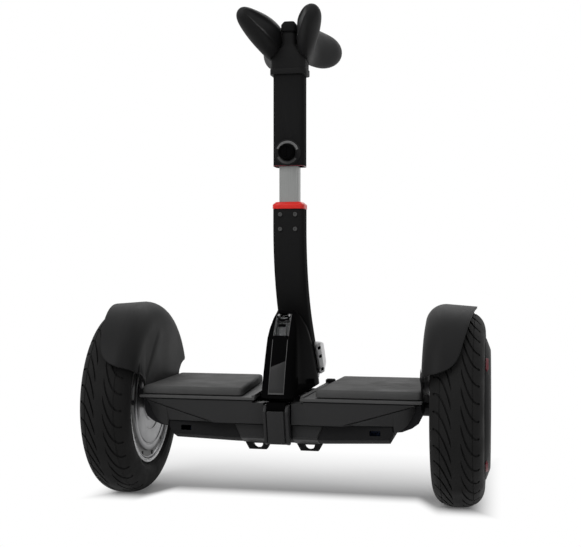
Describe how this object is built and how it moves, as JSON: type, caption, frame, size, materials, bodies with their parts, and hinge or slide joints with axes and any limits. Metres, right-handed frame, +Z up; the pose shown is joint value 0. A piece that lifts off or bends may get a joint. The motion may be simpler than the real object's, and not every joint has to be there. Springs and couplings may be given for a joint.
{
  "type": "self-balancing scooter",
  "caption": "Two-wheeled self-balancing scooter with foot mats, arched fenders, a leaning steering post with a height clamp, and a forked knee bar.",
  "frame": {"origin": "on the floor, midway between the two tyres and under the wheel axis", "axes": "+Z up along the steering post, +X along the wheel axis to the right of a person who looks at the headlight, +Y to the rear, so the headlight faces -Y"},
  "size_m": [0.546, 0.262, 0.6629],
  "materials": {
    "tyre": "matte rubber with cut grooves",
    "aluminium": "satin cast or drawn aluminium",
    "steel": "turned steel",
    "moulded_black": "fine-grained black moulded plastic",
    "painted_black": "satin black powder paint",
    "gloss_black": "glossy black moulded plastic",
    "soft_black": "soft black rubber",
    "mat_rubber": "textured dark grey rubber",
    "pad_rubber": "soft-touch black foam rubber",
    "red_trim": "bright red moulded plastic",
    "red_lens": "dark red lamp lens",
    "clear_lens": "clear lamp lens",
    "cast_alloy": "rough cast light alloy",
    "circuit_board": "green circuit board",
    "battery_wrap": "blue shrink wrap",
    "copper_winding": "enamelled copper winding",
    "grey_print": "dark plastic with grey print"
  },
  "bodies": {
    "base": {"chassis_frame": "cast_alloy", "deck_frame": "painted_black", "foot_mat_left": "mat_rubber", "foot_mat_right": "mat_rubber", "pressure_pad_left": "moulded_black", "pressure_pad_right": "moulded_black", "front_fascia_left": "painted_black", "front_fascia_right": "painted_black", "rear_cover": "painted_black", "lower_cover": "moulded_black", "battery_pack": "battery_wrap", "control_board": "circuit_board", "centre_panel": "painted_black", "fender_left": "moulded_black", "fender_right": "moulded_black", "tail_light_left": "red_lens", "tail_light_right": "red_lens", "skid_loop_left": "moulded_black", "skid_loop_right": "moulded_black", "charge_port": "moulded_black", "axle_left": "steel", "axle_right": "steel", "stator_left": "copper_winding", "stator_right": "copper_winding"},
    "wheel_left": {"tyre_left": "tyre", "rim_left": "aluminium", "motor_cover_left": "aluminium", "magnet_ring_left": "steel", "hub_cap_left": "moulded_black", "accent_ring_left": "red_trim", "bearing_inner_left": "steel", "bearing_outer_left": "steel"},
    "wheel_right": {"tyre_right": "tyre", "rim_right": "aluminium", "motor_cover_right": "aluminium", "magnet_ring_right": "steel", "hub_cap_right": "moulded_black", "accent_ring_right": "red_trim", "bearing_inner_right": "steel", "bearing_outer_right": "steel"},
    "steering": {"steering_shaft": "cast_alloy", "hump_shell": "gloss_black", "front_panel": "gloss_black", "headlight_housing": "moulded_black", "headlight_lens": "clear_lens", "bar_socket": "aluminium"},
    "lock_lever": {"lock_lever": "gloss_black"},
    "bar": {"lower_bar": "painted_black", "collar": "red_trim", "inner_tube": "aluminium", "bar_screws": "steel"},
    "upper": {"upper_tube": "painted_black", "knee_bracket": "moulded_black", "top_cap": "gloss_black", "knee_pad_left": "pad_rubber", "knee_pad_right": "pad_rubber", "knob_ring": "grey_print"},
    "height_knob": {"height_knob": "gloss_black"},
    "charge_cap": {"charge_cap": "soft_black"},
    "power_button": {"power_button": "gloss_black"}
  },
  "joints": [
    {"name": "wheel_left_spin", "type": "hinge", "parent": "base", "child": "wheel_left", "pos_m": [-0.2322, 0, 0.131], "axis": [1, 0, 0], "continuous": true},
    {"name": "wheel_right_spin", "type": "hinge", "parent": "base", "child": "wheel_right", "pos_m": [0.2322, 0, 0.131], "axis": [1, 0, 0], "continuous": true},
    {"name": "steering_lean", "type": "hinge", "parent": "base", "child": "steering", "pos_m": [0, 0, 0.125], "axis": [0, 1, 0], "range_deg": [-15, 15], "stiffness_Nm_per_rad": 20},
    {"name": "bar_release", "type": "slide", "parent": "steering", "child": "bar", "axis": [0, -0.6361, 0.7716], "range_m": [0, 0.035]},
    {"name": "height_slide", "type": "slide", "parent": "bar", "child": "upper", "axis": [0, 0, 1], "range_m": [-0.045, 0.05]},
    {"name": "height_knob_turn", "type": "hinge", "parent": "upper", "child": "height_knob", "pos_m": [0, -0.038, 0.477], "axis": [0, -1, 0], "range_deg": [0, 120]},
    {"name": "lock_lever_swing", "type": "hinge", "parent": "steering", "child": "lock_lever", "pos_m": [0, 0.1184, 0.179], "axis": [-1, 0, 0], "range_deg": [0, 60], "stiffness_Nm_per_rad": 0.05},
    {"name": "power_button_press", "type": "slide", "parent": "base", "child": "power_button", "axis": [0, -1, 0], "range_m": [0, 0.0015], "stiffness_N_per_m": 400},
    {"name": "charge_cap_flip", "type": "hinge", "parent": "base", "child": "charge_cap", "pos_m": [-0.04, 0.0936, 0.1167], "axis": [-1, 0, 0], "range_deg": [0, 100]}
  ]
}
